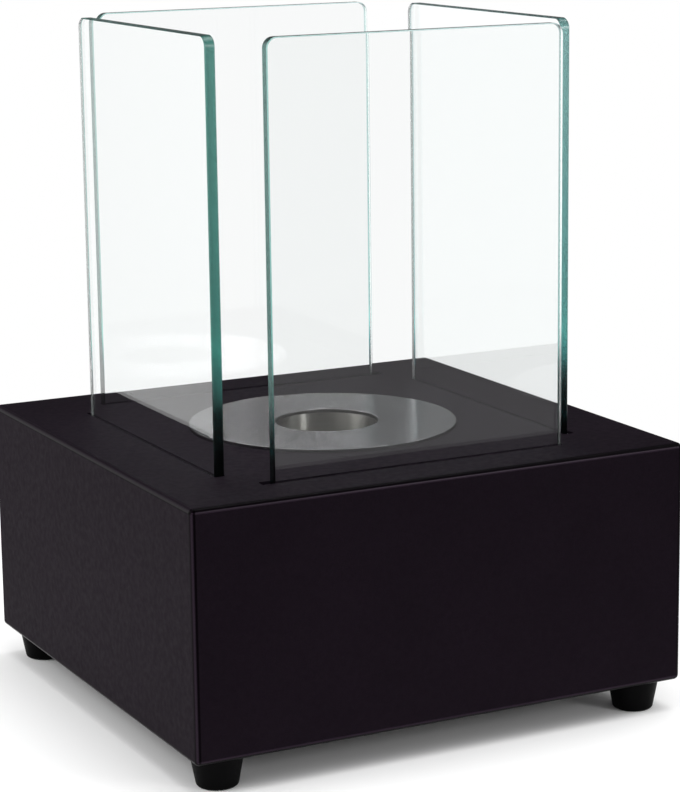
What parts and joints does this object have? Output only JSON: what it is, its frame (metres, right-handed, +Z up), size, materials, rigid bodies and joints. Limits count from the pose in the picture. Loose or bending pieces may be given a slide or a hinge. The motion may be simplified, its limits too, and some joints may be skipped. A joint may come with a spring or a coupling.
{
  "type": "bioethanol fireplace",
  "caption": "Tabletop bioethanol fireplace: black folded-steel box on rubber feet, four upright glass panes around a round brushed-steel burner.",
  "frame": {"origin": "on the surface the feet stand on, at the middle of the housing's footprint", "axes": "+Z up, +X to the right seen from the front, front face towards -Y"},
  "size_m": [0.2, 0.195, 0.2595],
  "materials": {
    "powder_coat": "fine-textured matt powder coat",
    "clear_glass": "clear float glass with green ground edges",
    "brushed_stainless": "straight fine brushing",
    "polished_stainless": "polished",
    "plain_stainless": "drawn mill finish",
    "zinc_steel": "zinc-plated",
    "silicone": "matt",
    "foot_rubber": "satin moulded",
    "ceramic_wool": "fibrous"
  },
  "bodies": {
    "base": {"base_housing": "powder_coat", "pane_channel_front": "zinc_steel", "pane_liner_front": "silicone", "pane_channel_right": "zinc_steel", "pane_liner_right": "silicone", "pane_channel_back": "zinc_steel", "pane_liner_back": "silicone", "pane_channel_left": "zinc_steel", "pane_liner_left": "silicone", "foot_front_left": "foot_rubber", "foot_front_right": "foot_rubber", "foot_back_left": "foot_rubber", "foot_back_right": "foot_rubber", "foot_washers": "zinc_steel", "foot_screws": "zinc_steel", "foot_nuts": "zinc_steel"},
    "burner": {"burner_plate": "brushed_stainless", "burner_neck": "polished_stainless", "burner_cup": "plain_stainless", "burner_wool": "ceramic_wool"},
    "pane_front": {"glass_pane_front": "clear_glass"},
    "pane_right": {"glass_pane_right": "clear_glass"},
    "pane_back": {"glass_pane_back": "clear_glass"},
    "pane_left": {"glass_pane_left": "clear_glass"}
  },
  "joints": [
    {"name": "burner_lift_out", "type": "slide", "parent": "base", "child": "burner", "axis": [0, 0, 1], "range_m": [0, 0.072]},
    {"name": "pane_front_lift_out", "type": "slide", "parent": "base", "child": "pane_front", "axis": [0, 0, 1], "range_m": [0, 0.014]},
    {"name": "pane_right_lift_out", "type": "slide", "parent": "base", "child": "pane_right", "axis": [0, 0, 1], "range_m": [0, 0.014]},
    {"name": "pane_back_lift_out", "type": "slide", "parent": "base", "child": "pane_back", "axis": [0, 0, 1], "range_m": [0, 0.014]},
    {"name": "pane_left_lift_out", "type": "slide", "parent": "base", "child": "pane_left", "axis": [0, 0, 1], "range_m": [0, 0.014]}
  ]
}
